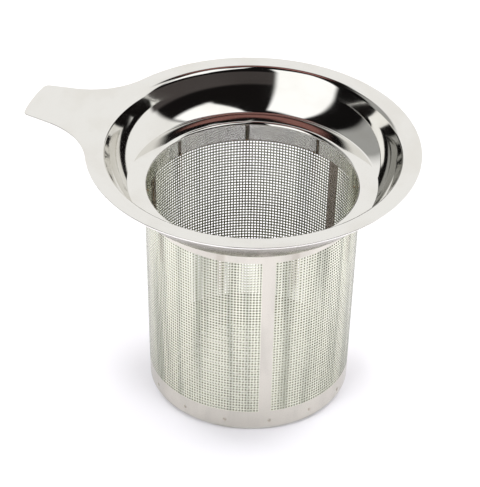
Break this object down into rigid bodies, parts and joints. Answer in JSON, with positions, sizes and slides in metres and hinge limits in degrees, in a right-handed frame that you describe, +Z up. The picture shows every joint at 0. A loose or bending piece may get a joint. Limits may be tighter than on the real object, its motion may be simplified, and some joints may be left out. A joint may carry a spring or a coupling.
{
  "type": "tea strainer",
  "caption": "Brew-in-mug tea strainer: a tapered stainless mesh basket hung from a bowl-shaped rim with a flat flange and a handle tab.",
  "frame": {"origin": "centre of the underside of the base pan, on the axis of the basket", "axes": "+Z up along the basket axis, +X along the handle tab away from the basket, +Y completes a right-handed frame"},
  "size_m": [0.1066, 0.088, 0.0725],
  "materials": {
    "rim_steel": "polished stainless sheet",
    "mesh_steel": "etched stainless sheet, satin",
    "pan_steel": "drawn stainless sheet, satin",
    "weld_steel": "heat-tinted weld"
  },
  "bodies": {
    "root": {"rim_dish": "rim_steel", "mesh_wall": "mesh_steel", "seam_weld": "weld_steel", "base_pan": "pan_steel", "neck_tack_welds": "weld_steel", "foot_spot_welds": "weld_steel"}
  },
  "joints": []
}
